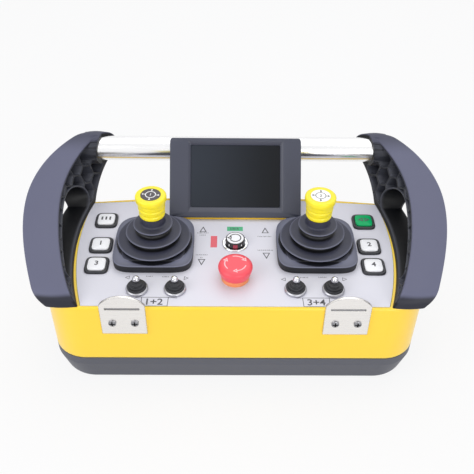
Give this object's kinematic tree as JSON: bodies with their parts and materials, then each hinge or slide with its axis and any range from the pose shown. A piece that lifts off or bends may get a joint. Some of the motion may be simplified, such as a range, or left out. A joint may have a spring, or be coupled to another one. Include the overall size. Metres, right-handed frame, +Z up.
{
  "type": "industrial radio remote control",
  "caption": "Two-joystick belly-box transmitter with a tilted display, side handles joined by a tube, push buttons, toggles, a start key and an emergency stop.",
  "frame": {"origin": "middle of the object's bounding box, on the surface that its base stands on", "axes": "+Z up, -Y towards the user, +X to the user's right"},
  "size_m": [0.3624, 0.1906, 0.1507],
  "materials": {
    "housing_yellow": "smooth moulded",
    "base_grey": "fine texture",
    "seal_rubber": "smooth",
    "panel_foil": "satin",
    "handle_plastic": "fine texture",
    "tube_steel": "polished",
    "plate_steel": "brushed",
    "screw_steel": "machined",
    "display_black": "satin",
    "screen_glass": "polished",
    "bellows_rubber": "matte",
    "knob_yellow": "smooth moulded",
    "disc_black": "satin",
    "disc_white": "satin",
    "mechanism_steel": "turned",
    "inner_plastic": "moulded",
    "estop_red": "smooth moulded",
    "estop_yellow": "satin",
    "key_black": "satin",
    "key_chrome": "polished",
    "bezel_black": "satin",
    "cap_white": "smooth moulded",
    "cap_green": "smooth moulded",
    "board_green": "solder mask",
    "battery_black": "moulded"
  },
  "bodies": {
    "housing": {"base_screws": "screw_steel", "battery_pack": "battery_black", "button_bezels": "bezel_black", "button_switches": "inner_plastic", "circuit_board": "board_green", "cross_tube": "tube_steel", "display_back_cover": "display_black", "display_bezel": "display_black", "display_bracket": "display_black", "display_glass": "screen_glass", "estop_collar": "estop_yellow", "estop_contact_block": "inner_plastic", "face_panel": "panel_foil", "handle_screws": "screw_steel", "housing_gasket": "seal_rubber", "left_bellows": "bellows_rubber", "left_handle": "handle_plastic", "left_stick_body": "inner_plastic", "left_strap_plate": "plate_steel", "lower_housing": "base_grey", "radio_module": "inner_plastic", "right_bellows": "bellows_rubber", "right_handle": "handle_plastic", "right_stick_body": "inner_plastic", "right_strap_plate": "plate_steel", "start_key_collar": "key_chrome", "start_key_switch": "inner_plastic", "strap_plate_screws": "screw_steel", "toggle_bodies": "inner_plastic", "toggle_boot_left_inner": "bellows_rubber", "toggle_boot_left_outer": "bellows_rubber", "toggle_boot_right_inner": "bellows_rubber", "toggle_boot_right_outer": "bellows_rubber", "toggle_nuts": "key_chrome", "upper_housing": "housing_yellow"},
    "left_tilt_ring": {"left_gimbal": "mechanism_steel"},
    "left_stick": {"left_shaft": "mechanism_steel", "left_knob": "knob_yellow", "left_knob_disc": "disc_black"},
    "left_rear_button": {"button_cap_left_rear": "cap_white"},
    "left_middle_button": {"button_cap_left_middle": "cap_white"},
    "left_front_button": {"button_cap_left_front": "cap_white"},
    "right_tilt_ring": {"right_gimbal": "mechanism_steel"},
    "right_stick": {"right_shaft": "mechanism_steel", "right_knob": "knob_yellow", "right_knob_disc": "disc_white"},
    "right_rear_button": {"button_cap_right_rear": "cap_green"},
    "right_middle_button": {"button_cap_right_middle": "cap_white"},
    "right_front_button": {"button_cap_right_front": "cap_white"},
    "left_outer_toggle": {"toggle_lever_left_outer": "key_chrome"},
    "left_inner_toggle": {"toggle_lever_left_inner": "key_chrome"},
    "right_inner_toggle": {"toggle_lever_right_inner": "key_chrome"},
    "right_outer_toggle": {"toggle_lever_right_outer": "key_chrome"},
    "estop_slider": {"estop_plunger": "mechanism_steel"},
    "estop_mushroom": {"estop_head": "estop_red"},
    "start_key": {"start_key_knob": "key_black"}
  },
  "joints": [
    {"name": "left_stick_pitch", "type": "hinge", "parent": "housing", "child": "left_tilt_ring", "pos_m": [-0.0708, -0.0162, 0.079], "axis": [1, 0, 0], "range_deg": [-18, 18], "stiffness_Nm_per_rad": 0.6, "deforming": ["left_bellows"]},
    {"name": "left_stick_roll", "type": "hinge", "parent": "left_tilt_ring", "child": "left_stick", "pos_m": [-0.0708, -0.0162, 0.079], "axis": [0, 1, 0], "range_deg": [-18, 18], "stiffness_Nm_per_rad": 0.6, "deforming": ["left_bellows"]},
    {"name": "left_rear_button_press", "type": "slide", "parent": "housing", "child": "left_rear_button", "axis": [0, 0, -1], "range_m": [0, 0.0015], "stiffness_N_per_m": 600},
    {"name": "left_middle_button_press", "type": "slide", "parent": "housing", "child": "left_middle_button", "axis": [0, 0, -1], "range_m": [0, 0.0015], "stiffness_N_per_m": 600},
    {"name": "left_front_button_press", "type": "slide", "parent": "housing", "child": "left_front_button", "axis": [0, 0, -1], "range_m": [0, 0.0015], "stiffness_N_per_m": 600},
    {"name": "right_stick_pitch", "type": "hinge", "parent": "housing", "child": "right_tilt_ring", "pos_m": [0.0708, -0.0162, 0.079], "axis": [1, 0, 0], "range_deg": [-18, 18], "stiffness_Nm_per_rad": 0.6, "deforming": ["right_bellows"]},
    {"name": "right_stick_roll", "type": "hinge", "parent": "right_tilt_ring", "child": "right_stick", "pos_m": [0.0708, -0.0162, 0.079], "axis": [0, 1, 0], "range_deg": [-18, 18], "stiffness_Nm_per_rad": 0.6, "deforming": ["right_bellows"]},
    {"name": "right_rear_button_press", "type": "slide", "parent": "housing", "child": "right_rear_button", "axis": [0, 0, -1], "range_m": [0, 0.0015], "stiffness_N_per_m": 600},
    {"name": "right_middle_button_press", "type": "slide", "parent": "housing", "child": "right_middle_button", "axis": [0, 0, -1], "range_m": [0, 0.0015], "stiffness_N_per_m": 600},
    {"name": "right_front_button_press", "type": "slide", "parent": "housing", "child": "right_front_button", "axis": [0, 0, -1], "range_m": [0, 0.0015], "stiffness_N_per_m": 600},
    {"name": "left_outer_toggle_throw", "type": "hinge", "parent": "housing", "child": "left_outer_toggle", "pos_m": [-0.081, -0.0702, 0.0855], "axis": [0, 1, 0], "range_deg": [-15, 15], "stiffness_Nm_per_rad": 0.06, "deforming": ["toggle_boot_left_outer"]},
    {"name": "left_inner_toggle_throw", "type": "hinge", "parent": "housing", "child": "left_inner_toggle", "pos_m": [-0.0497, -0.0702, 0.0855], "axis": [0, 1, 0], "range_deg": [-15, 15], "stiffness_Nm_per_rad": 0.06, "deforming": ["toggle_boot_left_inner"]},
    {"name": "right_inner_toggle_throw", "type": "hinge", "parent": "housing", "child": "right_inner_toggle", "pos_m": [0.0497, -0.0702, 0.0855], "axis": [0, 1, 0], "range_deg": [-15, 15], "stiffness_Nm_per_rad": 0.06, "deforming": ["toggle_boot_right_inner"]},
    {"name": "right_outer_toggle_throw", "type": "hinge", "parent": "housing", "child": "right_outer_toggle", "pos_m": [0.081, -0.0702, 0.0855], "axis": [0, 1, 0], "range_deg": [-15, 15], "stiffness_Nm_per_rad": 0.06, "deforming": ["toggle_boot_right_outer"]},
    {"name": "estop_push", "type": "slide", "parent": "housing", "child": "estop_slider", "axis": [0, 0, -1], "range_m": [0, 0.003]},
    {"name": "estop_twist", "type": "hinge", "parent": "estop_slider", "child": "estop_mushroom", "pos_m": [0, -0.0557, 0.1015], "axis": [0, 0, 1], "range_deg": [0, 45], "stiffness_Nm_per_rad": 0.08},
    {"name": "start_key_turn", "type": "hinge", "parent": "housing", "child": "start_key", "pos_m": [0, -0.0122, 0.0915], "axis": [0, 0, 1], "range_deg": [0, 90]}
  ]
}
